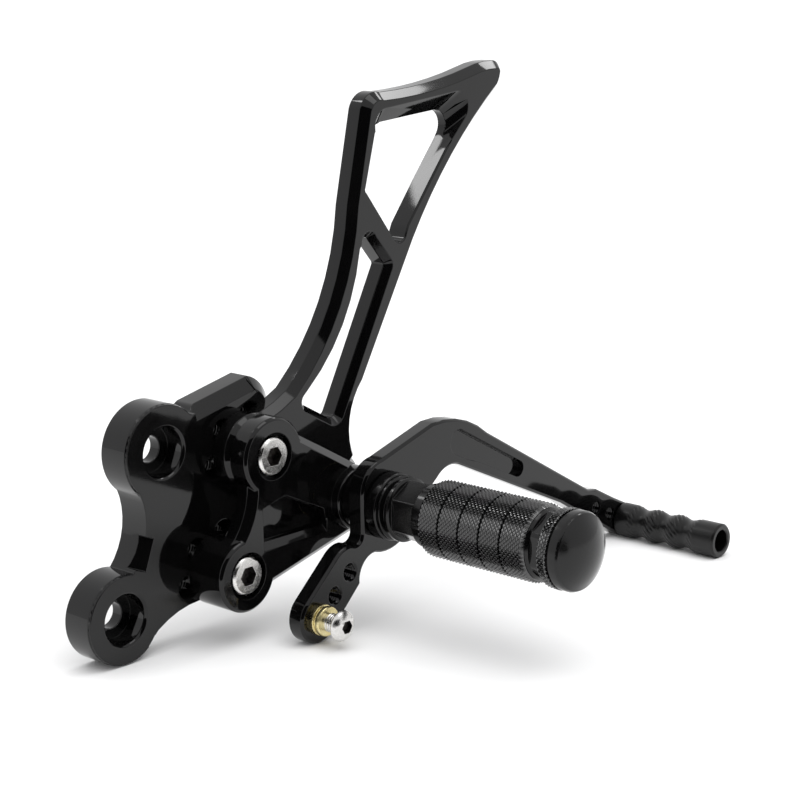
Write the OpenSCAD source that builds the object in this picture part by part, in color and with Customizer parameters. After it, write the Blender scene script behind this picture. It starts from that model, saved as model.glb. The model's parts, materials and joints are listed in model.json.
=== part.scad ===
// Rear-set footrest for a motorcycle: an adjustable mounting plate, a peg bracket, a heel guard,
// a fixed knurled footpeg and a gear lever that turns on the peg's axis.
// X runs along the machine, Z is up, and the footpeg points along -Y. The mounting face is Y = 0
// and the origin is the upper frame bolt's centre on that face.

/* [Frame mounting] */
// Footpeg axis behind the upper frame bolt
pivot_x = 71; // [68:0.5:74]
// Footpeg axis below the upper frame bolt
pivot_drop = 26; // [24:0.5:28]
// Lower frame bolt forward of the upper one
frame_dx = 17.7; // [16:0.1:19]
// Lower frame bolt below the upper one
frame_dz = 51.4; // [50:0.1:53]
// Diameter of the frame bolt holes
frame_hole_d = 8.8; // [8.2:0.1:9.2]
// Diameter of the frame bolt counterbores
frame_cbore_d = 16.2; // [15:0.1:18]
// Depth of the frame bolt counterbores
frame_cbore_h = 7.5; // [5:0.5:9]

/* [Mounting plate] */
// Thickness of the mounting plate
plate_t = 12; // [10:0.5:14]
// Radius of the lobe around the upper frame bolt
upper_lobe_r = 15.9; // [14.5:0.1:16.5]
// Radius of the lobe around the lower frame bolt
lower_lobe_r = 15; // [14:0.1:15.5]
// Chamfer along the top of the adjustment block
block_chamfer = 4; // [3:0.25:5]
// Small chamfer round the plates
edge_chamfer = 0.8; // [0.4:0.1:1.2]
// Radius of the plate round an adjustment hole
hole_wall_r = 10; // [9.5:0.1:10.5]

/* [Peg bracket] */
// Diameter of the upper screw boss
boss_d = 26; // [24:0.5:27]
// Diameter of the lower screw boss
lower_boss_d = 24.6; // [23:0.1:26]
// Half the width of the bracket's arms at the pivot
arm_r = 10.6; // [10:0.1:11]
// Thickness of the bracket in front of the heel guard
bracket_t = 7.3; // [6.5:0.1:8]
// Chamfer round the bracket's front edge
bracket_chamfer = 2.6; // [1.5:0.1:2.8]
// Depth of the recess between the arms
recess_depth = 4.2; // [2:0.1:5]
// Raised seat round the pivot
hub_rise = 3.5; // [2:0.1:5]

/* [Heel guard] */
// Thickness of the heel guard
guard_t = 8.2; // [7:0.1:9]
// Chamfer round the heel guard's outside
guard_chamfer = 2.8; // [1.5:0.1:3]
// Edge break round the upper window
upper_window_chamfer = 0.4; // [0.2:0.1:0.8]
// Depth of the slope along the upper window's top
flare_depth = 4.7; // [3:0.1:5.5]
// Chamfer round the lower window
lower_window_chamfer = 2.4; // [1:0.1:2.4]

/* [Gear lever] */
// Thickness of the lever
lever_t = 6; // [5:0.1:6]
// Running gap on each side of the lever
lever_gap = 0.15; // [0.1:0.01:0.2]
// Radius of the lever's hub
lever_hub_r = 16.5; // [15:0.1:17]
// Toe peg behind the pivot
toe_x = 136; // [132:0.5:140]
// Toe peg below the pivot
toe_drop = 34.1; // [33:0.1:35]
// Depth of the pocket in the lever's arm
lever_pocket = 2.6; // [1:0.1:3]
// Distance between neighbouring threaded holes
hole_pitch = 9.6; // [9:0.1:10]

/* [Toe peg] */
// Largest diameter of the toe peg
toe_d = 13; // [12:0.1:13]
// Length of the toe peg
toe_len = 45.3; // [40:0.1:50]
// Bore of the toe peg
toe_bore = 8.2; // [7:0.1:9]
// Depth of the waves cut round the toe peg
toe_wave = 1.2; // [0.6:0.1:1.6]

/* [Footpeg] */
// Diameter of the knurled grip
grip_d = 26; // [24:0.1:27]
// Length of the knurled grip
grip_len = 44; // [40:0.5:46]
// Width of the V grooves round the grip
groove_w = 1; // [0.6:0.1:1.4]
// Diameter of the end ring and the end cap
cap_d = 26.2; // [24:0.1:27]
// Diameter of the peg's flange and ring
flange_d = 22; // [21:0.1:23]

/* [Hidden] */
$fn = 64;
fine = 9;
short = 0.9;
stride = 9;
screw_d = 8;
screw_head_d = 13;
screw_head_h = 4.6;
screw_recess_d = 15.6;
hex_8 = 6;
link_d = 6;
link_head_d = 10.5;
link_head_h = 3.3;
link_stand = 12.4;
tap_8 = 6.8;
tap_6 = 5;

pivot = [pivot_x, -pivot_drop];
boss_r = boss_d / 2;
lower_boss_r = lower_boss_d / 2;
lower_bolt = [-frame_dx, -frame_dz];

// Places beside the mounting face, each as a distance outboard of it
guard_y = plate_t;
bracket_y = guard_y + guard_t;
boss_y = bracket_y + bracket_t;
hub_y = boss_y + hub_rise;
lever_y = 37;
lever_front = lever_y + lever_t;
collar_y = lever_front + lever_gap;
collar_t = 4.8;
flange_y = collar_y + collar_t;

// Places in the plates' plane are taken from the pivot
upper_boss = [-37.3, 21];
lower_boss = [-49.7, -16.8];
hole_step_a = [3.9, 11.3];
hole_step_b = [12.1, 3.9];
toe = [toe_x, -toe_drop];
link_a = [-18.1, -19.5];
link_dir = 221.5;
toe_dir = 155.4;
link_tip_r = 8.6;
toe_tip_r = 6.4;

sleeve_d = 14;
bush_d = 17;
bush_flange_d = 20;
bush_t = 1;
fit = 0.02;

// Grip and cap, as distances along the peg from its flange's outer face
flange_t = 1.6;
waist_t = 1.6;
ring_t = 2;
neck_t = 9.5;
shoulder_t = 4.3;
grip_y = flange_y + flange_t + waist_t + ring_t + neck_t + shoulder_t;
grip_end = grip_y + grip_len;
end_neck_t = 5.5;
end_ring_t = 3.6;
end_gap = 0.6;
cap_t = 7.8;
cap_y = grip_end + end_neck_t + end_ring_t + end_gap;
core_d = 0.56 * grip_d;
groove_count = 4;

function polar(c, r, a) = c + r * [cos(a), sin(a)];

// Points along an arc of given centre and radius, from one angle to another
function arc(c, r, a0, a1) =
  let (turn = abs(a1 - a0), run = turn * r * PI / 180,
       n = max(2, min(ceil(turn / fine), ceil(run / short)), ceil(run / stride)))
  [for (i = [0:n]) polar(c, r, a0 + (a1 - a0) * i / n)];

// Points from p to q on an arc that stands s off the straight line, to the right when s > 0
function bow(p, q, s) =
  abs(s) < 0.01 ? [p, q] :
  let (d = q - p, h = norm(d) / 2, side = sign(s),
       r = (h * h + s * s) / (2 * abs(s)),
       right = [d[1], -d[0]] / norm(d),
       c = (p + q) / 2 + right * side * (abs(s) - r),
       a0 = atan2(p[1] - c[1], p[0] - c[0]),
       a1 = atan2(q[1] - c[1], q[0] - c[0]),
       turn = side > 0 ? (a1 - a0 + 720) % 360 : -((a0 - a1 + 720) % 360))
  arc(c, r, a0, a0 + turn);

// The same outline without points that lie on top of their neighbour
function tidy(path) =
  [for (i = [0:len(path) - 1])
    if (norm(path[i] - path[(i + 1) % len(path)]) > 0.05) path[i]];

// Outline moved inwards by c at every point, for a path that runs anticlockwise
function inset(path, c) =
  let (n = len(path))
  [for (i = [0:n - 1])
    let (u = path[i] - path[(i + n - 1) % n], v = path[(i + 1) % n] - path[i],
         nu = [-u[1], u[0]] / norm(u), nv = [-v[1], v[0]] / norm(v), m = nu + nv)
    path[i] + m * (2 * c / (m * m))];

// Closed band that follows an outline, with the triangle given by three [inset, outboard] corners
module band(path, corners) {
  n = len(path);
  points = [for (k = corners) each [for (p = inset(path, k[0])) [p[0], -k[1], p[1]]]];
  faces = [for (j = [0:2]) for (i = [0:n - 1])
    let (a = j * n + i, b = j * n + (i + 1) % n, up = ((j + 1) % 3) * n,
         c = up + i, d = up + (i + 1) % n)
    each [[a, d, b], [a, c, d]]];
  polyhedron(points, faces);
}

module slab(path, y, t) {
  translate([0, -y, 0]) rotate([90, 0, 0]) linear_extrude(height = t) polygon(path);
}

// Plate from y outboard, with a chamfer all round its front edge
module plate(path, y, t, c) {
  p = tidy(path);
  e = 0.2;
  difference() {
    slab(p, y, t);
    band(p, [[c + e, y + t + e], [-e, y + t - c - e], [-e, y + t + e]]);
  }
}

// Through cutter for a window whose front edge flares by c; the path is the window at the face
module window(path, y, t, c) {
  p = tidy(path);
  e = 0.2;
  slab(inset(p, c), y - 1, t + 2);
  band(p, [[c + e, y + t + e], [c + e, y + t - c - e], [-e, y + t + e]]);
}

// Straight-sided recess cut from the face at y inwards
module recess(path, y, depth) {
  slab(path, y - depth, depth + 1);
}

module at_pivot() {
  translate([pivot[0], 0, pivot[1]]) children();
}

// Round stock along the outboard direction, from y over length t
module rod(p, d, y, t) {
  translate([p[0], -y, p[1]]) rotate([90, 0, 0]) cylinder(d = d, h = t);
}

module cone(p, d1, d2, y, t) {
  translate([p[0], -y, p[1]]) rotate([90, 0, 0]) cylinder(d1 = d1, d2 = d2, h = t);
}

// Turned piece: the profile's points are [radius, distance outboard]
module turned(p, profile) {
  translate([p[0], 0, p[1]]) rotate([90, 0, 0]) rotate_extrude($fn = 96) polygon(profile);
}

module hex_socket(p, af, y, depth) {
  translate([p[0], -(y - depth), p[1]]) rotate([90, 0, 0])
    cylinder(d = af / cos(30), h = depth + 1, $fn = 6);
}

// Mounting plate
function base_path() =
  let (up = -pivot, lo = lower_bolt - pivot,
       u3 = upper_boss + hole_step_a, l4 = lower_boss, l3 = lower_boss + [3.1, 12.2])
  concat(
    arc([-56.6, -60.4], 33.8, 131, 91),
    arc(l4, hole_wall_r, -92, -18),
    arc(l3, hole_wall_r, -18, 28),
    bow(polar(l3, hole_wall_r, 28), polar(upper_boss, hole_wall_r, -42), -5),
    arc(upper_boss, hole_wall_r, -42, -12),
    arc(u3, hole_wall_r + 2.2, -6, 76),
    [[-54.6, 38.7]],
    bow([-56, 37.8], polar(up, upper_lobe_r - 0.4, 44), -0.9),
    arc(up, upper_lobe_r - 0.4, 50, 224),
    bow(polar(up, upper_lobe_r - 0.4, 228), polar(lo, lower_lobe_r - 0.4, 76), -3.9),
    arc(lo, lower_lobe_r - 0.4, 82, 308));

module frame_hole(p) {
  rod(p, frame_hole_d, -1, plate_t + 2);
  rod(p, frame_cbore_d, plate_t - frame_cbore_h, frame_cbore_h + 1);
  cone(p, frame_cbore_d, frame_cbore_d + 2, plate_t - 0.8, 1);
}

module adjust_hole(p) {
  rod(p, tap_8, -1, plate_t + 2);
  cone(p, tap_8, tap_8 + 2.4, plate_t - 1, 1.2);
}

// Round lobe of the plate, chamfered at its front
module lobe(p, r) {
  c = edge_chamfer;
  rod(p, 2 * r, 0, plate_t - c);
  cone(p, 2 * r, 2 * (r - c), plate_t - c, c);
}

module base_plate() {
  color("#17181a") difference() {
    union() {
      at_pivot() slab(tidy(base_path()), 0, plate_t);
      lobe([0, 0], upper_lobe_r);
      lobe(lower_bolt, lower_lobe_r);
    }
    frame_hole([0, 0]);
    frame_hole(lower_bolt);
    at_pivot() for (s = [upper_boss, lower_boss]) {
      adjust_hole(s - hole_step_b);
      adjust_hole(s - hole_step_b + hole_step_a);
      adjust_hole(s + hole_step_a);
      rod(s, screw_d, -1, plate_t + 2);
    }
    at_pivot() block_cut();
    at_pivot() block_corner(upper_boss + hole_step_a, hole_wall_r + 2.2, block_chamfer);
    at_pivot() neck_cut();
  }
}

// Wide chamfer along the top of the adjustment block
module block_cut() {
  translate([-57.5, -plate_t, 38]) rotate([0, -12.8, 0])
    rotate([45, 0, 0]) translate([0, -block_chamfer * 1.42, -block_chamfer * 0.707])
      cube([26.4, block_chamfer * 2.84, block_chamfer * 1.414]);
}

// The same chamfer carried round the block's rear corner
module block_corner(p, r, c) {
  e = 0.3;
  y = plate_t - c - e;
  h = c + e + 1;
  intersection() {
    difference() {
      rod(p, 2 * r + 4, y, h);
      cone(p, 2 * (r + e), 2 * (r + e - h), y, h);
    }
    translate([p[0], -y - h - 1, p[1]]) rotate([0, 12, 0]) cube([r + 3, h + 2, r + 3]);
  }
}

// Bevel on the lower half of the neck between the two lobes
module neck_cut() {
  translate([-80.8, -plate_t, 0.6]) rotate([0, 20, 0])
    rotate([0, 0, 45]) translate([-3.4, -3.4, -11]) cube([6.8, 6.8, 11]);
}

// Peg bracket
function bracket_path() =
  concat(
    arc([0, 0], arm_r + 2.2, -72, -56),
    arc([0, 0], arm_r, -26, 60.6),
    arc(upper_boss, boss_r - 0.4, 28, 214),
    bow(polar(upper_boss, boss_r - 0.4, 218), polar(lower_boss, lower_boss_r - 0.4, 120), -2.4),
    arc(lower_boss, lower_boss_r - 0.4, 124, 330));

module screw_seat(p) {
  rod(p, screw_recess_d, boss_y - screw_head_h, screw_head_h + 1);
  rod(p, screw_d, -1, boss_y + 2);
}

module peg_bracket() {
  pocket = [[-42.5, -0.72 * arm_r], [-13, -0.7 * arm_r], [-14.6, -0.11 * arm_r], [-32.5, 0.66 * arm_r],
    [-42.8, 0.41 * arm_r]];
  color("#17181a") difference() {
    at_pivot() union() {
      plate(bracket_path(), bracket_y, bracket_t, bracket_chamfer);
      rod(lower_boss, lower_boss_d, guard_y, boss_y - guard_y - 0.9);
      cone(lower_boss, lower_boss_d, lower_boss_d - 1.8, boss_y - 0.9, 0.9);
      rod(upper_boss, boss_d, bracket_y, bracket_t - 0.9);
      cone(upper_boss, boss_d, boss_d - 1.8, boss_y - 0.9, 0.9);
      rod([0, 0], 2 * arm_r + 0.6, boss_y - 3, hub_rise + 2.4);
      cone([0, 0], 2 * arm_r + 0.6, 2 * arm_r - 0.6, hub_y - 0.6, 0.6);
    }
    at_pivot() {
      screw_seat(upper_boss);
      screw_seat(lower_boss);
      rod([0, 0], screw_d, -1, hub_y + 2);
      recess(pocket, boss_y, recess_depth);
      pocket_slope(pocket[0], pocket[1]);
    }
  }
}

// Sloping lower wall of the recess between the arms
module pocket_slope(p, q) {
  d = q - p;
  translate([p[0], -boss_y, p[1]]) rotate([0, -atan2(d[1], d[0]), 0])
    rotate([45, 0, 0]) translate([0, -1.7, -1.7]) cube([norm(d), 3.4, 3.4]);
}

// Heel guard
function guard_path() =
  concat(
    arc([0, 0], 14, -119, 46),
    bow([10.8, 11.2], [14.7, 36.2], -4.0),
    bow([40.9, 82.4], [86.1, 133.2], -3.1),
    bow([86.1, 133.2], [88.3, 138], 0.3),
    bow([88.3, 138], [84.3, 143.2], 1.75),
    bow([84.3, 143.2], [70, 141.2], 0.6),
    bow([70, 141.2], [24.5, 135], -1.3),
    bow([24.5, 135], [14.5, 128.4], 2.7),
    bow([8.2, 98], [-21.3, 39.3], -6.5),
    bow([-21.3, 39.3], polar(upper_boss, boss_r, 76), -0.4),
    arc(upper_boss, boss_r, 82, 240));

function upper_window() =
  concat(
    bow([29.2, 84.4], [35, 86], 1.9),
    bow([36.2, 88.8], [58.6, 116.7], -0.2),
    arc([55.4, 121.7], 5.4, -38, 94.3),
    arc([24.6, 119.4], 5.4, 94.3, 169),
    bow([14.9, 103.6], [15.4, 101.6], 0.5));

// Two outlines of the slope over the upper window: at its foot, and at the guard's front face
function flare_foot() =
  concat([[20, 113], [52, 109.5]],
    [for (a = [0:10]) polar([55.4, 121.7], 5.4, -38 + 13.23 * a)],
    [for (a = [0:6]) polar([24.6, 119.4], 5.4, 94.3 + 12.45 * a)]);

function flare_top() =
  concat([[20, 113], [52, 109.5]],
    [for (a = [0:10]) polar([62.4, 128], 5.6, -44 + 13.99 * a)],
    [for (a = [0:6]) polar([25.8, 123.4], 6.4, 95.9 + 12.18 * a)]);

// Cutter that spreads from the foot outline to the top outline, and a little past the face
module flare(foot, top, y, depth) {
  n = len(foot);
  e = 0.2;
  points = concat([for (p = foot) [p[0], -(y - depth), p[1]]],
    [for (i = [0:n - 1]) let (p = top[i] + (top[i] - foot[i]) * e / depth) [p[0], -(y + e), p[1]]]);
  sides = [for (i = [0:n - 1]) let (j = (i + 1) % n) each [[i, n + i, n + j], [i, n + j, j]]];
  polyhedron(points, concat(sides, [[for (i = [0:n - 1]) i]], [[for (i = [n - 1:-1:0]) n + i]]));
}

function lower_window() =
  concat(
    bow([-3.4, 24.4], [3.2, 26.8], 1.5),
    bow([27.6, 73.8], [27.4, 78], 0.7),
    bow([19.8, 86.6], [12.6, 84.6], 3.1),
    bow([11.6, 83], [-14.2, 38.4], -4.9),
    bow([-15.4, 37.4], [-14.4, 30.4], 2.2));

module heel_guard() {
  color("#17181a") difference() {
    at_pivot() plate(guard_path(), guard_y, guard_t, guard_chamfer);
    at_pivot() {
      window(inset(tidy(upper_window()), -upper_window_chamfer), guard_y, guard_t, upper_window_chamfer);
      flare(flare_foot(), flare_top(), bracket_y, flare_depth);
      window(lower_window(), guard_y, guard_t, lower_window_chamfer);
      rod(upper_boss, screw_d, -1, boss_y);
      rod([0, 0], screw_d, -1, boss_y);
      rod([0, 0], 14.6, guard_y - 1, 5.4);
    }
  }
}

// Socket cap screw whose head's outer face is at y
module cap_screw(p, y, length, head_h) {
  color("#b9bcc0") difference() {
    union() {
      rod(p, screw_head_d, y - head_h, head_h - 0.8);
      cone(p, screw_head_d, screw_head_d - 1.6, y - 0.8, 0.8);
      rod(p, screw_d, y - head_h - length, length);
    }
    hex_socket(p, hex_8, y, 3.2);
  }
}

module upper_bracket_bolt() {
  cap_screw(pivot + upper_boss, boss_y, boss_y - screw_head_h - 1, screw_head_h);
}

module lower_bracket_bolt() {
  cap_screw(pivot + lower_boss, boss_y, boss_y - screw_head_h - 1, screw_head_h);
}

// Bolt through the bracket from inboard, which holds the footpeg
module pivot_bolt() {
  color("#b9bcc0") difference() {
    union() {
      rod(pivot, screw_head_d, guard_y - 4.6, 8);
      rod(pivot, screw_d, guard_y, flange_y + 22 - guard_y);
    }
    translate([pivot[0], -(guard_y - 5.6), pivot[1]]) rotate([90, 0, 0])
      cylinder(d = hex_8 / cos(30), h = 5, $fn = 6);
  }
}

module washer(p, d, hole, y, t) {
  difference() {
    rod(p, d, y, t);
    rod(p, hole, y - 1, t + 2);
  }
}

module pivot_washer() {
  color("#b9bcc0") washer(pivot, 14.2, screw_d, guard_y + 3.4, 1);
}

module pivot_sleeve() {
  color("#b9bcc0") washer(pivot, sleeve_d, screw_d, hub_y, collar_y - hub_y);
}

module lever_spacer() {
  color("#17181a")
    turned(pivot, [[sleeve_d / 2, hub_y], [9.6, hub_y], [10, hub_y + 0.4],
      [10, lever_y - lever_gap - 0.4], [9.6, lever_y - lever_gap], [sleeve_d / 2, lever_y - lever_gap]]);
}

module thrust_collar() {
  color("#17181a")
    turned(pivot, [[screw_d / 2, collar_y], [11, collar_y], [11.5, collar_y + 0.5],
      [11.5, flange_y - 0.5], [11, flange_y], [screw_d / 2, flange_y]]);
}

// Footpeg
module peg_core() {
  f = flange_d / 2;
  a = flange_y + flange_t;
  b = a + waist_t;
  c = b + ring_t;
  e = c + neck_t;
  color("#17181a") difference() {
    turned(pivot, [[screw_d / 2, flange_y], [f - 0.5, flange_y], [f, flange_y + 0.4], [f, a - 0.3],
      [f - 1.6, a + 0.4], [f - 1.6, b - 0.4], [f, b + 0.3], [f, c - 0.5], [f - 0.8, c],
      [f - 0.8, e], [f - 0.2, e + 0.6], [f - 0.2, grip_y - 0.5], [f - 0.7, grip_y],
      [core_d / 2, grip_y], [core_d / 2, cap_y + 3], [0, cap_y + 3], [0, flange_y + 22],
      [screw_d / 2, flange_y + 22]]);
    for (k = [0:5]) translate([pivot[0], -c, pivot[1]]) rotate([0, 30 + 60 * k, 0])
      translate([-f, -neck_t, f - 2]) cube([2 * f, neck_t, 4]);
  }
}

// Knurled grip with V grooves at even steps
module peg_grip() {
  r = grip_d / 2;
  step = (grip_len - 2) / (groove_count + 1);
  grooves = [for (k = [1:groove_count]) let (y = grip_y + step * k)
    each [[r, y - groove_w / 2], [r - groove_w * 0.8, y], [r, y + groove_w / 2]]];
  color("#131416")
    turned(pivot, concat([[core_d / 2, grip_y], [r - 1.4, grip_y], [r, grip_y + 1.4]], grooves,
      [[r, grip_end - 1], [r - 1, grip_end], [core_d / 2, grip_end]]));
}

module peg_end_neck() {
  r = grip_d / 2;
  y = grip_end;
  color("#17181a") difference() {
    turned(pivot, [[core_d / 2, y], [r - 1.4, y], [r - 2.2, y + 1], [r - 2.2, y + end_neck_t - 1.4],
      [r - 1.2, y + end_neck_t], [core_d / 2, y + end_neck_t]]);
    for (k = [0:5]) translate([pivot[0], -y, pivot[1]]) rotate([0, 30 + 60 * k, 0])
      translate([-r, -end_neck_t + 1, r - 3.2]) cube([2 * r, end_neck_t - 2, 4]);
  }
}

module peg_end_ring() {
  r = cap_d / 2;
  y = grip_end + end_neck_t;
  color("#131416")
    turned(pivot, [[core_d / 2, y], [r - 0.8, y], [r, y + 0.8], [r, y + end_ring_t],
      [core_d / 2, y + end_ring_t]]);
}

// Domed cap that closes the peg's end
module peg_end_cap() {
  r = cap_d / 2 - 0.2;
  rise = 4.4;
  dome_r = (r * r + rise * rise) / (2 * rise);
  half = asin((r - 1.4) / dome_r);
  dome = [for (i = [0:8]) let (a = half * (1 - i / 8))
    [dome_r * sin(a), cap_y + cap_t - dome_r + dome_r * cos(a)]];
  color("#17181a")
    turned(pivot, concat([[core_d / 2, cap_y - end_gap], [r - 1.2, cap_y - end_gap], [r - 1.2, cap_y],
      [r, cap_y + 0.3], [r, cap_y + cap_t - rise - 0.6], [r - 0.5, cap_y + cap_t - rise + 0.5]], dome,
      [[0, cap_y + 3], [core_d / 2, cap_y + 3]]));
}

// Gear lever
function lever_path() =
  let (side = link_dir - 90, c = polar(link_a, 2 * hole_pitch, link_dir),
       tip = [c[0], -toe_drop - toe_d / 2 + link_tip_r])
  concat(
    bow([-12.8, -24.7], [-5.4, -15.7], -2.6),
    arc([0, 0], lever_hub_r, -107, -24),
    bow([17.6, -4], [26.2, 3.8], -0.4),
    bow([26.2, 3.8], [39.4, 5.9], -2.2),
    [[97, -19.7], [106, -24.9]],
    arc(toe, toe_tip_r, -116, 62),
    [[130.6, -24.6], [119, -18.8], [113.6, -17.8]],
    bow([53.4, 15.2], [23.4, 23.8], 3.1),
    bow([-2.2, 16.1], [-12.2, 5.2], 2.8),
    bow([-12, -7.6], [-15.6, -11], -1.1),
    arc(link_a, 9.1, 88, side),
    arc(tip, link_tip_r, side, side + 180));

function lever_pocket_path() =
  concat(
    bow([35.6, 10.6], [48.7, 5.3], 0.4),
    bow([69.2, -3.9], [71.4, 1.6], 3.1),
    bow([38, 19.4], [35.6, 10.6], 4));

module lever_holes() {
  for (k = [0:2]) {
    rod(pivot + polar(link_a, k * hole_pitch, link_dir), tap_6, lever_y - 1, lever_t + 2);
    rod(pivot + polar(toe, k * hole_pitch, toe_dir), tap_6, lever_y - 1, lever_t + 2);
    cone(pivot + polar(link_a, k * hole_pitch, link_dir), tap_6, tap_6 + 2, lever_front - 0.8, 1);
  }
}

module gear_lever() {
  color("#17181a") difference() {
    at_pivot() plate(lever_path(), lever_y, lever_t, edge_chamfer);
    lever_holes();
    rod(pivot, bush_d, lever_y - 1, lever_t + 2);
    rod(pivot, bush_flange_d, lever_y - 1, 1 + bush_t);
    rod(pivot, bush_flange_d, lever_front - bush_t, 1 + bush_t);
    at_pivot() recess(lever_pocket_path(), lever_front, lever_pocket);
  }
}

// Flanged bush pressed into the lever; outwards is 1 when its flange faces outboard
module bush(outwards) {
  mid = lever_y + lever_t / 2;
  s = outwards ? 1 : -1;
  bore = sleeve_d / 2 + fit;
  color("#a8813c")
    turned(pivot, [[bore, mid], [bush_d / 2, mid], [bush_d / 2, mid + s * (lever_t / 2 - bush_t)],
      [bush_flange_d / 2, mid + s * (lever_t / 2 - bush_t)], [bush_flange_d / 2, mid + s * lever_t / 2],
      [bore, mid + s * lever_t / 2]]);
}

module inner_bush() {
  bush(false);
}

module outer_bush() {
  bush(true);
}

// Toe peg with waves turned into its outside
module toe_peg() {
  y = lever_front;
  r = toe_d / 2;
  wave_count = 3;
  start = 6;
  stop = toe_len - 9;
  n = 14 * wave_count;
  waves = [for (i = [0:n])
    [r - toe_wave / 2 * (1 - cos(360 * wave_count * i / n)), y + start + (stop - start) * i / n]];
  color("#17181a") difference() {
    turned(pivot + toe, concat([[0, y], [r - 0.6, y], [r, y + 0.6]], waves,
      [[r, y + toe_len - 0.7], [r - 0.7, y + toe_len], [0, y + toe_len]]));
    rod(pivot + toe, toe_bore, y + toe_len - 24, 25);
    rod(pivot + toe, link_d, y - 1, 12);
  }
}

module toe_stud() {
  color("#b9bcc0") rod(pivot + toe, link_d, lever_y + 0.5, lever_t + 9);
}

// Link end hardware on the last hole of the short arm
module link_spacer() {
  p = pivot + polar(link_a, 2 * hole_pitch, link_dir);
  y = lever_front;
  color("#b08a35")
    turned(p, [[link_d / 2, y], [5.2, y], [5.2, y + 1.3], [4.4, y + 1.5], [4.4, y + 2],
      [5, y + 2.2], [5, y + 3.5], [4.7, y + 3.8], [link_d / 2, y + 3.8]]);
}

module link_screw() {
  p = pivot + polar(link_a, 2 * hole_pitch, link_dir);
  top = lever_front + link_stand;
  r = link_head_d / 2;
  dome = [for (i = [0:10]) let (a = 8.2 * i) [r * cos(a), top - link_head_h + 0.5 + (link_head_h - 0.5)
    * sin(a) / sin(82)]];
  color("#b9bcc0") difference() {
    union() {
      rod(p, link_d, lever_y + 0.4, lever_t + link_stand - link_head_h);
      turned(p, concat([[0, top - link_head_h], [r - 0.3, top - link_head_h]], dome, [[0, top]]));
    }
    hex_socket(p, 4, top, 2.1);
  }
}

base_plate();
peg_bracket();
heel_guard();
upper_bracket_bolt();
lower_bracket_bolt();
pivot_bolt();
pivot_washer();
pivot_sleeve();
lever_spacer();
thrust_collar();
peg_core();
peg_grip();
peg_end_neck();
peg_end_ring();
peg_end_cap();
gear_lever();
inner_bush();
outer_bush();
toe_peg();
toe_stud();
link_spacer();
link_screw();
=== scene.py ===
# Rear-set footrest: black anodised plates and lever, a knurled footpeg and bright hardware.
import json
import math
from functools import partial

import bmesh
import bpy
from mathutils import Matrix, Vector


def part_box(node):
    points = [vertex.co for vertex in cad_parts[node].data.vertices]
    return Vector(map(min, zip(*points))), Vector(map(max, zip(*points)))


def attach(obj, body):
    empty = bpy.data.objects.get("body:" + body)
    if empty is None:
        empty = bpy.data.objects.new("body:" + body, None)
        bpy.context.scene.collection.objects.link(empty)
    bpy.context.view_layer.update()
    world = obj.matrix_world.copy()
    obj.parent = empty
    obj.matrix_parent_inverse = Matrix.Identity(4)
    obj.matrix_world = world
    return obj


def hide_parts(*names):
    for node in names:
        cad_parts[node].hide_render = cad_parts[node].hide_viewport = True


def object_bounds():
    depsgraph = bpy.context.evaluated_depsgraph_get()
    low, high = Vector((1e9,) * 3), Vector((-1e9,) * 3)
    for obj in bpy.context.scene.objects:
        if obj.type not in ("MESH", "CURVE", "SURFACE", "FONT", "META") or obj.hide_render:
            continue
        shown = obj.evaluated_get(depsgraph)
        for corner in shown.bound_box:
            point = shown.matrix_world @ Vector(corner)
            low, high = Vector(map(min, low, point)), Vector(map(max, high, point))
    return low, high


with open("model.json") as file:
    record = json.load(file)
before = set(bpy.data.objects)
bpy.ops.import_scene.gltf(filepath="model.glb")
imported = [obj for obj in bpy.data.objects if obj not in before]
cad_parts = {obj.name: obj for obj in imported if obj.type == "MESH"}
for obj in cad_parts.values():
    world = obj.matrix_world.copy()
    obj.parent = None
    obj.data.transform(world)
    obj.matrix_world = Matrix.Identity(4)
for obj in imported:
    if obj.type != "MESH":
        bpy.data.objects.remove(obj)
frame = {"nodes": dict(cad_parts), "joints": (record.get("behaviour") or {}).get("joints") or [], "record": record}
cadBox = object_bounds()
mm = 0.001
scene = bpy.context.scene
pivot = Vector(frame["joints"][0]["pos_m"])
bodyOfNode = {node: body for body, nodes in frame["record"]["behaviour"]["bodies"].items() for node in nodes}
print("frame loaded with", len(bodyOfNode), "nodes")

# Shader helpers


def newFinish(name):
    finish = bpy.data.materials.new(name)
    finish.use_nodes = True
    tree = finish.node_tree
    return finish, tree, tree.nodes["Principled BSDF"]


def addNode(tree, kind, **settings):
    node = tree.nodes.new(kind)
    for key, value in settings.items():
        setattr(node, key, value)
    return node


def objectMapping(tree, scale=(1, 1, 1), location=(0, 0, 0)):
    coords = addNode(tree, "ShaderNodeTexCoord")
    mapping = addNode(tree, "ShaderNodeMapping")
    mapping.inputs["Scale"].default_value = scale
    mapping.inputs["Location"].default_value = location
    tree.links.new(coords.outputs["Object"], mapping.inputs["Vector"])
    return mapping.outputs["Vector"]


def noiseAt(tree, vector, scale, detail):
    noise = addNode(tree, "ShaderNodeTexNoise")
    noise.inputs["Scale"].default_value = scale
    noise.inputs["Detail"].default_value = detail
    noise.inputs["Roughness"].default_value = 0.55
    tree.links.new(vector, noise.inputs["Vector"])
    return noise.outputs["Fac"]


noiseSpan = (0.3, 0.7)  # the part of a noise's range that carries its contrast


def remap(tree, value, low, high):
    ranger = addNode(tree, "ShaderNodeMapRange")
    ranger.inputs["From Min"].default_value = noiseSpan[0]
    ranger.inputs["From Max"].default_value = noiseSpan[1]
    ranger.inputs["To Min"].default_value = low
    ranger.inputs["To Max"].default_value = high
    tree.links.new(value, ranger.inputs["Value"])
    return ranger.outputs["Result"]


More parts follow.
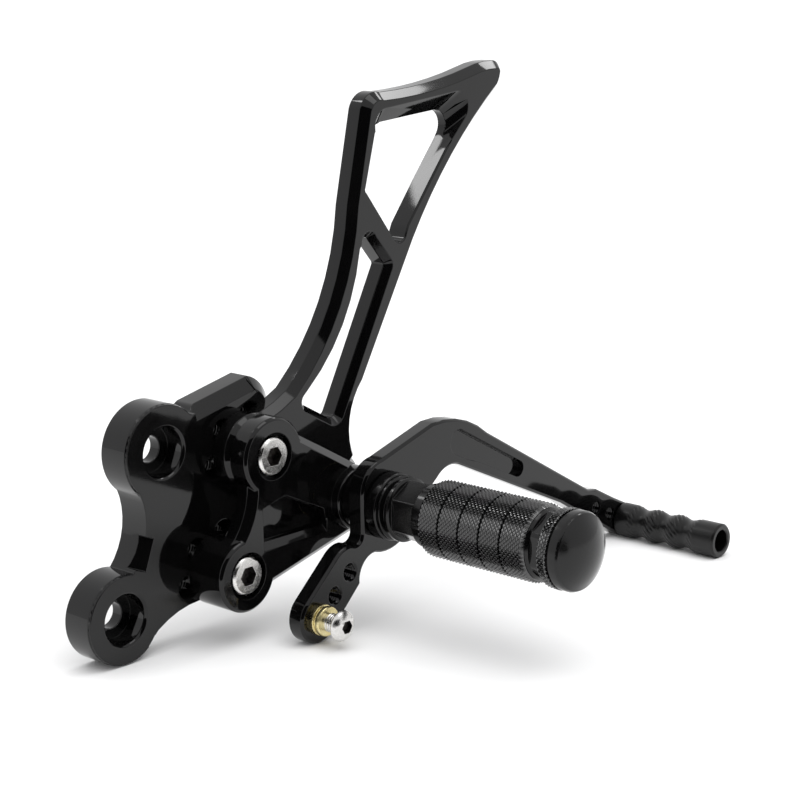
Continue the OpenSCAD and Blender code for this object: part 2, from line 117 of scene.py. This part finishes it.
def tint(tree, value, dark, light):
    ramp = addNode(tree, "ShaderNodeValToRGB")
    for stop, place, colour in zip(ramp.color_ramp.elements, noiseSpan, (dark, light)):
        stop.position = place
        stop.color = (*colour, 1)
    tree.links.new(value, ramp.inputs["Fac"])
    return ramp.outputs["Color"]


def bumpFrom(tree, shader, height, strength, distance):
    bump = addNode(tree, "ShaderNodeBump")
    bump.inputs["Strength"].default_value = strength
    bump.inputs["Distance"].default_value = distance
    tree.links.new(height, bump.inputs["Height"])
    tree.links.new(bump.outputs["Normal"], shader.inputs["Normal"])


# Lays a two-tone cloud over the shader's colour and roughness, and returns the cloud
def clouded(tree, shader, look):
    cloud = noiseAt(tree, objectMapping(tree), look["cloudScale"], look["cloudDetail"])
    tree.links.new(tint(tree, cloud, look["dark"], look["light"]), shader.inputs["Base Color"])
    tree.links.new(remap(tree, cloud, *look["gloss"]), shader.inputs["Roughness"])
    return cloud


# Finishes; gloss is the roughness from clean to handled, grain stretches the cutter marks along X, Y and Z

anodising = {
    "dark": (0.0012, 0.0012, 0.0013),
    "light": (0.0026, 0.0025, 0.0026),
    "ior": 1.42,
    "cloudScale": 45,
    "cloudDetail": 4,
    "streakScale": 6,
    "streakDetail": 2,
    "markDepth": 0.00003,
}
milledLook = {**anodising, "gloss": (0.04, 0.08), "grain": (60, 700, 60), "marks": 0.06}
turnedLook = {**anodising, "gloss": (0.12, 0.22), "grain": (20, 1500, 20), "marks": 0.1}
satinLook = {**turnedLook, "gloss": (0.26, 0.34)}
knurledLook = {
    "dark": (0.002, 0.002, 0.0022),
    "light": (0.005, 0.005, 0.0052),
    "gloss": (0.12, 0.22),
    "ior": 1.9,
    "cloudScale": 260,
    "cloudDetail": 3,
    "marks": 0.1,
    "markDepth": 0.00002,
}
turning = {
    "cloudScale": 500,
    "cloudDetail": 3,
    "ringScale": 900,
    "ringWaver": 1.5,
    "ringDetail": 2,
    "marks": 0.25,
    "markDepth": 0.00002,
}
steelLook = {**turning, "dark": (0.66, 0.65, 0.63), "light": (0.84, 0.83, 0.81), "gloss": (0.18, 0.32)}
brassLook = {**turning, "dark": (0.74, 0.62, 0.3), "light": (0.9, 0.8, 0.46), "gloss": (0.2, 0.34)}
# Dark steel colours that paint the shade inside a screw's key socket
socketShadeLook = {
    "dark": (0.05, 0.046, 0.042),
    "light": (0.16, 0.15, 0.14),
    "gloss": (0.3, 0.5),
    "cloudScale": 900,
    "cloudDetail": 3,
}


def blackAnodised(name, look):
    finish, tree, shader = newFinish(name)
    clouded(tree, shader, look)
    streak = noiseAt(tree, objectMapping(tree, look["grain"]), look["streakScale"], look["streakDetail"])
    shader.inputs["IOR"].default_value = look["ior"]
    bumpFrom(tree, shader, streak, look["marks"], look["markDepth"])
    return finish


def knurledBlack(name, look):
    finish, tree, shader = newFinish(name)
    cloud = clouded(tree, shader, look)
    shader.inputs["IOR"].default_value = look["ior"]
    bumpFrom(tree, shader, cloud, look["marks"], look["markDepth"])
    return finish


# Turned bright metal with fine rings about an axis that runs along Y through the node's centre
def turnedMetal(name, node, look):
    finish, tree, shader = newFinish(name)
    wave = addNode(tree, "ShaderNodeTexWave", wave_type="RINGS", rings_direction="Y")
    wave.inputs["Scale"].default_value = look["ringScale"]
    wave.inputs["Distortion"].default_value = look["ringWaver"]
    wave.inputs["Detail"].default_value = look["ringDetail"]
    tree.links.new(objectMapping(tree, location=-centreOf(node)), wave.inputs["Vector"])
    clouded(tree, shader, look)
    shader.inputs["Metallic"].default_value = 1
    bumpFrom(tree, shader, wave.outputs["Fac"], look["marks"], look["markDepth"])
    return finish


# Steel of the key sockets with painted shade: a dark, duller steel stands in for the shade inside the recess
def socketShadeSteel(name, look):
    finish, tree, shader = newFinish(name)
    clouded(tree, shader, look)
    shader.inputs["Metallic"].default_value = 1
    return finish


# Mesh helpers

meshing = {
    "weld": 0.000004,
    "flat": 1.2,  # degrees between faces that count as one
    "sharp": 28,  # degrees from which an edge is broken
    "segments": 2,
    "crisp": 32,  # degrees from which shading stays sharp
    "turnWeld": 0.000002,
    "turnSliver": 0.000001,
}


def centreOf(node):
    low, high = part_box(node)
    return (low + high) / 2


# Centre of a round node that lies along Y, then its radius and both ends outboard in millimetres
def roundNode(node):
    low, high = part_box(node)
    return centreOf(node), (high.x - low.x) / 2 / mm, -high.y / mm, -low.y / mm


# Makes an object of the bmesh, which takes over the node's body
def finishedPiece(name, bm, node, finish, crisp=meshing["crisp"], flat=False, second=None):
    mesh = bpy.data.meshes.new(name)
    bm.to_mesh(mesh)
    bm.free()
    piece = bpy.data.objects.new(name, mesh)
    scene.collection.objects.link(piece)
    mesh.materials.append(finish)
    if second:
        mesh.materials.append(second)
    if not flat:
        mesh.shade_smooth()
        mesh.set_sharp_from_angle(angle=math.radians(crisp))
    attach(piece, bodyOfNode[node])
    return piece


def mergedCopy(node):
    bm = bmesh.new()
    bm.from_mesh(frame["nodes"][node].data)
    bmesh.ops.remove_doubles(bm, verts=bm.verts, dist=meshing["weld"])
    flat = math.radians(meshing["flat"])
    bmesh.ops.dissolve_limit(bm, angle_limit=flat, verts=bm.verts, edges=bm.edges)
    return bm


def breakEdges(bm, width):
    limit = math.radians(meshing["sharp"])
    sharp = [edge for edge in bm.edges if edge.is_manifold and edge.calc_face_angle(0) > limit]
    bmesh.ops.bevel(bm, geom=sharp, offset=width, segments=meshing["segments"], profile=0.5, affect="EDGES",
                    clamp_overlap=False, material=-1, offset_type="OFFSET")


# Keeps the CAD shape apart from what change does, breaks its edges by width and gives it the finish
def dressed(node, finish, width, change=None, second=None):
    bm = mergedCopy(node)
    if change:
        change(bm)
    breakEdges(bm, width)
    piece = finishedPiece(node + "_dressed", bm, node, finish, second=second)
    weighted = piece.modifiers.new("flatFaces", "WEIGHTED_NORMAL")
    weighted.keep_sharp = True
    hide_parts(node)


# Spins a profile of (radius, distance outboard) in millimetres about the Y axis through centre
def turnedPiece(centre, profile, steps, closed=True):
    bm = bmesh.new()
    rail = [bm.verts.new((centre.x + radius * mm, -out * mm, centre.z)) for radius, out in profile]
    pairs = list(zip(rail, rail[1:] + rail[:1])) if closed else list(zip(rail, rail[1:]))
    edges = [bm.edges.new(pair) for pair in pairs]
    bmesh.ops.spin(bm, geom=rail + edges, cent=(centre.x, 0, centre.z), axis=(0, 1, 0), angle=math.tau,
                   steps=steps, use_merge=True)
    bmesh.ops.remove_doubles(bm, verts=bm.verts, dist=meshing["turnWeld"])
    bmesh.ops.dissolve_degenerate(bm, dist=meshing["turnSliver"], edges=bm.edges)
    bmesh.ops.recalc_face_normals(bm, faces=bm.faces)
    return bm


threadForm = {"crestFrom": 0.42, "crestTo": 0.58, "steps": 28, "crisp": 20}  # crest in shares of the pitch


# A helical rib of V section along Y, by a thread's root and crest radii, pitch, start and stop in millimetres
def helixRib(bm, centre, root, crest, pitch, start, stop):
    steps = threadForm["steps"]
    section = [
        (root, start),
        (crest, start + pitch * threadForm["crestFrom"]),
        (crest, start + pitch * threadForm["crestTo"]),
        (root, start + pitch),
    ]
    corners = [bm.verts.new((centre.x + radius * mm, -out * mm, centre.z)) for radius, out in section]
    face = bm.faces.new(corners)
    count = int((stop - start - pitch) / pitch * steps)
    bmesh.ops.spin(bm, geom=[face, *face.edges, *corners], cent=(centre.x, 0, centre.z), axis=(0, 1, 0),
                   dvec=(0, -pitch * mm / steps, 0), angle=math.tau * count / steps, steps=count)


# One piece that holds the thread ribs of several holes or shanks of a node
def threadRibs(name, node, places, thread, finish):
    bm = bmesh.new()
    for place in places:
        helixRib(bm, place, **thread)
    bmesh.ops.recalc_face_normals(bm, faces=bm.faces)
    finishedPiece(name, bm, node, finish, crisp=threadForm["crisp"])


# Camera at the photograph's place; back points from the object to it

view = {"place": (-0.4075, -0.48, 0.1563), "back": (-0.7247, -0.653, 0.2202), "lens": 90, "sensor": 36}
cameraData = bpy.data.cameras.new("photoCamera")
cameraData.lens = view["lens"]
cameraData.sensor_width = view["sensor"]
camera = bpy.data.objects.new("photoCamera", cameraData)
camera.location = view["place"]
camera.rotation_mode = "QUATERNION"
camera.rotation_quaternion = (-Vector(view["back"])).to_track_quat("-Z", "Y")
scene.collection.objects.link(camera)
scene.camera = camera
print("camera set")

# White floor and room, small soft boxes, and dark screens on the camera's side that only reflections see

lyingCorners = [(-1.25, -0.1), (-0.11, -0.12), (-0.03, -0.4), (0.07, -0.7), (0.07, -1.3), (-1.25, -1.3)]
studio = {
    "floorLevel": cadBox[0].z,
    "floorSize": 30,
    "floorColour": (0.86, 0.86, 0.86, 1),
    "surround": (0.9, 0.9, 0.905, 1),
    "matte": 0.9,
    "aim": (pivot.x, -0.03, 0.02),
    "sun": {"strength": 1.5, "spread": 70, "lean": (0.12, -0.1)},
    "screenColour": (0.002, 0.002, 0.002, 1),
    "screens": {
        "screenUpright": [(-1.25, -0.12, 0), (0.05, -1.3, 0), (0.05, -1.3, 0.82), (-1.25, -0.12, 0.82)],
        "screenLying": [(x, y, 0.0005) for x, y in lyingCorners],
    },
    "boxes": {
        "backLeft": {"place": (-0.217, 0.772, 0.96), "size": (0.14, 0.12), "watts": 0.47},
        "right": {"place": (0.95, -0.14, 0.93), "size": (0.18, 0.18), "watts": 0.8},
        "overhead": {"place": (0.2, -0.45, 0.95), "size": (0.45, 0.35), "watts": 1.0},
    },
}


# A flat sheet through corners given above the floor; shy ones are seen only in reflections
def plainSheet(name, corners, colour, shy=False):
    bm = bmesh.new()
    bm.faces.new([bm.verts.new((x, y, z + studio["floorLevel"])) for x, y, z in corners])
    mesh = bpy.data.meshes.new(name)
    bm.to_mesh(mesh)
    bm.free()
    sheet = bpy.data.objects.new(name, mesh)
    scene.collection.objects.link(sheet)
    finish, tree, shader = newFinish(name)
    shader.inputs["Base Color"].default_value = colour
    shader.inputs["Roughness"].default_value = studio["matte"]
    shader.inputs["Specular IOR Level"].default_value = 0
    mesh.materials.append(finish)
    if shy:
        sheet.visible_camera = False
        sheet.visible_diffuse = False
        sheet.visible_shadow = False


def softBox(name, place, size, watts):
    light = bpy.data.lights.new(name, "AREA")
    light.shape = "RECTANGLE"
    light.size, light.size_y = size
    light.energy = watts
    lamp = bpy.data.objects.new(name, light)
    lamp.location = place
    lamp.rotation_mode = "QUATERNION"
    lamp.rotation_quaternion = (Vector(studio["aim"]) - Vector(place)).to_track_quat("-Z", "Y")
    scene.collection.objects.link(lamp)


# Soft light from above that stays out of reflections
def softSun(strength, spread, lean):
    light = bpy.data.lights.new("sun", "SUN")
    light.energy = strength
    light.angle = math.radians(spread)
    lamp = bpy.data.objects.new("sun", light)
    lamp.rotation_euler = (*lean, 0)
    lamp.visible_glossy = False
    scene.collection.objects.link(lamp)


half = studio["floorSize"] / 2
floorCorners = [(-half, -half, 0), (half, -half, 0), (half, half, 0), (-half, half, 0)]
plainSheet("floor", floorCorners, studio["floorColour"])
for screenName, screenCorners in studio["screens"].items():
    plainSheet(screenName, screenCorners, studio["screenColour"], shy=True)
for boxName, box in studio["boxes"].items():
    softBox(boxName, **box)
softSun(**studio["sun"])
world = bpy.data.worlds.new("studioRoom")
scene.world = world
world.use_nodes = True
world.node_tree.nodes["Background"].inputs["Color"].default_value = studio["surround"]
scene.view_settings.view_transform = "Standard"
print("studio set")

# Milled plates and lever, with the width in millimetres to which each one's edges are broken

plates = {"base_plate": 0.3, "peg_bracket": 0.25, "heel_guard": 0.25, "gear_lever": 0.2}
blockFin = {
    "left": 39.0,
    "right": 40.2,
    "top": 15.9,
    "front": 11.99,
    "foot": 16.4,  # corners under it go to footLevel, the others to level
    "footLevel": 10.3,
    "level": 8.0,
    "weld": 0.3,
    "sliver": 0.01,
}
slope = {"foot": 15.5, "within": 0.05, "raised": 17.6, "above": 95.0, "until": 122.0}
adjustPlaces = [(-49.4, 17.1), (-45.5, 28.4), (-33.4, 32.3), (-61.8, -20.7), (-57.9, -9.4), (-45.8, -5.5)]
adjustThread = {"root": 3.45, "crest": 2.95, "pitch": 1.25, "start": 0.2, "stop": 11.0}
leverThread = {"root": 2.55, "crest": 2.15, "pitch": 1.0, "start": 37.2, "stop": 42.4}


# Takes off the thin fin that stands between the block's two chamfers
def trimFin(bm):
    for vert in bm.verts:
        x, y, z = vert.co / mm
        if blockFin["left"] < x < blockFin["right"] and z > blockFin["top"] and -y > blockFin["front"]:
            vert.co.y = -(blockFin["footLevel"] if z < blockFin["foot"] else blockFin["level"]) * mm
    bmesh.ops.remove_doubles(bm, verts=bm.verts, dist=blockFin["weld"] * mm)
    bmesh.ops.dissolve_degenerate(bm, dist=blockFin["sliver"] * mm, edges=bm.edges)


# Lays the slope over the upper window a little flatter towards its front end
def layBackSlope(bm):
    for vert in bm.verts:
        x, y, z = vert.co / mm
        if abs(-y - slope["foot"]) < slope["within"] and z > slope["above"] and x < slope["until"]:
            vert.co.y = -slope["raised"] * mm


milled = blackAnodised("milledBlack", milledLook)
reshaped = {"base_plate": trimFin, "heel_guard": layBackSlope}
for plateNode, edgeWidth in plates.items():
    dressed(plateNode, milled, edgeWidth * mm, change=reshaped.get(plateNode))
adjustHoles = [pivot + Vector((x, 0, z)) * mm for x, z in adjustPlaces]
threadRibs("adjustment_threads", "base_plate", adjustHoles, adjustThread, milled)
mounts = frame["record"]["mounts"]
leverHoles = [Vector(mount["pos_m"]) for mount in mounts if mount["kind"] == "threaded_hole"]
threadRibs("lever_threads", "gear_lever", leverHoles, leverThread, milled)
print("plates dressed and tapped")

# Turned black pieces of the footpeg

turnedEdge = 0.12
turned = blackAnodised("turnedBlack", turnedLook)
for turnedNode in ("lever_spacer", "thrust_collar", "peg_core", "peg_end_neck", "peg_end_cap"):
    dressed(turnedNode, turned, turnedEdge * mm)
print("turned pieces dressed")

# Knurled grip and ring, in millimetres

knurl = {
    "around": 52,  # diamonds round the grip
    "perLand": 5,  # diamonds along one land between two grooves
    "perRing": 2,
    "stepsPerDiamond": 4,
    "depth": 0.55,
    "lands": 5,
    "groove": 0.8,
    "grooveWall": 0.12,
    "grooveDepth": 1.0,
    "ends": 1.2,
    "ringEdge": 0.5,
    "inner": 7.28,
    "within": 0.02,
}


# Height of a diamond pyramid at whole steps round and along
def diamond(i, j):
    steps = knurl["stepsPerDiamond"]
    return 1 - max(abs((turn % steps) / steps - 0.5) * 2 for turn in (i + j, i - j))


# Knurls a turned mesh: rows gives the along-step of every ring of vertices, keyed by its place
def pressKnurl(bm, centre, radius, rows):
    for vert in bm.verts:
        key = round(-vert.co.y / mm, 3)
        offset = Vector((vert.co.x - centre.x, 0, vert.co.z - centre.z))
        if key not in rows or abs(offset.length - radius * mm) > knurl["within"] * mm:
            continue
        step = round(math.atan2(offset.z, offset.x) / math.tau * knurl["around"] * knurl["stepsPerDiamond"])
        vert.co -= offset.normalized() * knurl["depth"] * mm * (1 - diamond(step, rows[key]))


# Adds one knurled stretch to a profile and its rings of vertices to rows
def addStretch(profile, rows, radius, begin, length, diamonds):
    steps = diamonds * knurl["stepsPerDiamond"]
    for j in range(steps + 1):
        out = begin + length * j / steps
        profile.append((radius, out))
        rows[round(out, 3)] = j


def knurledPiece(node, centre, radius, profile, rows):
    bm = turnedPiece(centre, profile, knurl["around"] * knurl["stepsPerDiamond"])
    pressKnurl(bm, centre, radius, rows)
    bmesh.ops.triangulate(bm, faces=bm.faces, quad_method="SHORT_EDGE")
    piece = finishedPiece(node + "_knurled", bm, node, knurledFinish, flat=True)
    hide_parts(node)


def knurledGrip():
    centre, radius, start, stop = roundNode("peg_grip")
    grooves = (knurl["lands"] - 1) * knurl["groove"]
    landLength = (stop - start - 2 * knurl["ends"] - grooves) / knurl["lands"]
    profile = [(knurl["inner"], start), (radius - knurl["ends"], start)]
    rows = {}
    for land in range(knurl["lands"]):
        begin = start + knurl["ends"] + land * (landLength + knurl["groove"])
        addStretch(profile, rows, radius, begin, landLength, knurl["perLand"])
        if land < knurl["lands"] - 1:
            for share in (knurl["grooveWall"], knurl["groove"] - knurl["grooveWall"]):
                profile.append((radius - knurl["grooveDepth"], begin + landLength + share))
    profile += [(radius - knurl["ends"], stop), (knurl["inner"], stop)]
    knurledPiece("peg_grip", centre, radius, profile, rows)


def knurledRing():
    centre, radius, start, stop = roundNode("peg_end_ring")
    edge = knurl["ringEdge"]
    profile = [(knurl["inner"], start), (radius - edge, start)]
    rows = {}
    addStretch(profile, rows, radius, start + edge, stop - start - edge, knurl["perRing"])
    profile.append((knurl["inner"], stop))
    knurledPiece("peg_end_ring", centre, radius, profile, rows)


knurledFinish = knurledBlack("knurledBlack", knurledLook)
knurledGrip()
knurledRing()
print("footpeg knurled")

# Toe peg with waves and slanting strokes across their crests, in millimetres

toePeg = {
    "waves": 3,
    "waveDepth": 1.15,
    "waveStart": 6,  # plain length at the lever's end
    "waveEnd": 9,  # plain length at the free end
    "strokes": 16,
    "strokeLead": 36,
    "strokeDepth": 0.28,
    "strokeSlope": 1.6,  # the higher, the narrower a stroke
    "crestSlope": 1.4,  # the higher, the shorter a stroke
    "fade": 1.5,
    "startEdge": 0.6,
    "endEdge": 0.7,
    "bore": 4.1,
    "boreEdge": 0.4,
    "boreDepth": 24,
    "drillPoint": 1.6,
    "wall": 2,
    "tip": 0.001,
    "rowStep": 0.35,
    "steps": 192,
    "crisp": 40,
}


# Profile of the toe peg from its axis at the lever, round the outside and down the bore
def toeProfile(radius, start, stop, first, last, waveAt):
    edge = toePeg["startEdge"]
    profile = [(toePeg["tip"], start), (radius - edge, start), (radius, start + edge)]
    count = int((last - first) / toePeg["rowStep"])
    for k in range(count + 1):
        out = first + (last - first) * k / count
        profile.append((radius - toePeg["waveDepth"] * waveAt(out), out))
    bore = toePeg["bore"]
    bottom = stop - toePeg["boreDepth"]
    profile += [(radius, stop - toePeg["endEdge"]), (radius - toePeg["endEdge"], stop)]
    profile += [(bore + toePeg["boreEdge"], stop), (bore, stop - toePeg["boreEdge"])]
    profile += [(bore, bottom), (toePeg["tip"], bottom - toePeg["drillPoint"])]
    return profile


# Twists the outside to the strokes' lead and sinks the strokes into the crests
def cutStrokes(bm, centre, radius, first, last, waveAt):
    for vert in bm.verts:
        out = -vert.co.y / mm
        offset = Vector((vert.co.x - centre.x, 0, vert.co.z - centre.z))
        outside = offset.length > (radius - toePeg["wall"]) * mm
        along = min(max(out, first), last) if outside else last
        angle = math.atan2(offset.z, offset.x)
        reach = offset.length
        if outside and first < out < last:
            ridge = abs(angle / math.tau * toePeg["strokes"] % 1 - 0.5) * 2
            fade = min(1, (out - first) / toePeg["fade"], (last - out) / toePeg["fade"])
            fade *= max(0, 1 - waveAt(out) * toePeg["crestSlope"])
            reach -= toePeg["strokeDepth"] * mm * fade * max(0, 1 - ridge * toePeg["strokeSlope"])
        angle += math.tau * (along - first) / toePeg["strokeLead"]
        vert.co.x = centre.x + math.cos(angle) * reach
        vert.co.z = centre.z + math.sin(angle) * reach


def wavyToePeg():
    centre, radius, start, stop = roundNode("toe_peg")
    first, last = start + toePeg["waveStart"], stop - toePeg["waveEnd"]

    def waveAt(out):
        share = min(max((out - first) / (last - first), 0), 1)
        return (1 - math.cos(math.tau * toePeg["waves"] * share)) / 2

    profile = toeProfile(radius, start, stop, first, last, waveAt)
    bm = turnedPiece(centre, profile, toePeg["steps"], closed=False)
    cutStrokes(bm, centre, radius, first, last, waveAt)
    piece = finishedPiece("toe_peg_waved", bm, "toe_peg", satin, crisp=toePeg["crisp"])
    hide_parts("toe_peg")


satin = blackAnodised("satinBlack", satinLook)
wavyToePeg()
print("toe peg shaped")

# Bright hardware, in millimetres; a key socket gets painted shade within its reach from the screw's axis

keySockets = {"upper_bracket_bolt": 3.6, "lower_bracket_bolt": 3.6, "link_screw": 2.4}
socketShadeSpan = {"lip": 0.4, "depth": 5}
linkThread = {"root": 2.9, "crest": 3.22, "pitch": 1.0, "start": 46.9, "stop": 52.0}
hardwareEdges = {"screw": 0.1, "steel": 0.12, "bush": 0.1}


# Gives the faces inside a screw's key socket the second finish, a dark steel that paints in the shade of the
# recess
def paintSocketShade(bm, node):
    low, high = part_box(node)
    middle = centreOf(node)
    for face in bm.faces:
        inside = all(math.hypot(vert.co.x - middle.x, vert.co.z - middle.z) < keySockets[node] * mm
                     for vert in face.verts)
        deep = any(vert.co.y > low.y + socketShadeSpan["lip"] * mm for vert in face.verts)
        if inside and deep and face.calc_center_median().y < low.y + socketShadeSpan["depth"] * mm:
            face.material_index = 1


# The dark steel made here is painted shade for the inside of the key sockets
socketShadeFinish = socketShadeSteel("socketShadeSteel", socketShadeLook)
screwSteels = {node: turnedMetal(node + "Steel", node, steelLook) for node in keySockets}
for screwNode, screwSteel in screwSteels.items():
    dressed(screwNode, screwSteel, hardwareEdges["screw"] * mm, change=partial(paintSocketShade, node=screwNode),
            second=socketShadeFinish)
linkCentre = centreOf("link_screw")
threadRibs("link_screw_thread", "link_screw", [linkCentre], linkThread, screwSteels["link_screw"])
for steelNode in ("pivot_bolt", "pivot_washer", "pivot_sleeve", "toe_stud"):
    dressed(steelNode, turnedMetal(steelNode + "Steel", steelNode, steelLook), hardwareEdges["steel"] * mm)
for bushNode in ("inner_bush", "outer_bush", "link_spacer"):
    dressed(bushNode, turnedMetal(bushNode + "Brass", bushNode, brassLook), hardwareEdges["bush"] * mm)
print("hardware dressed")
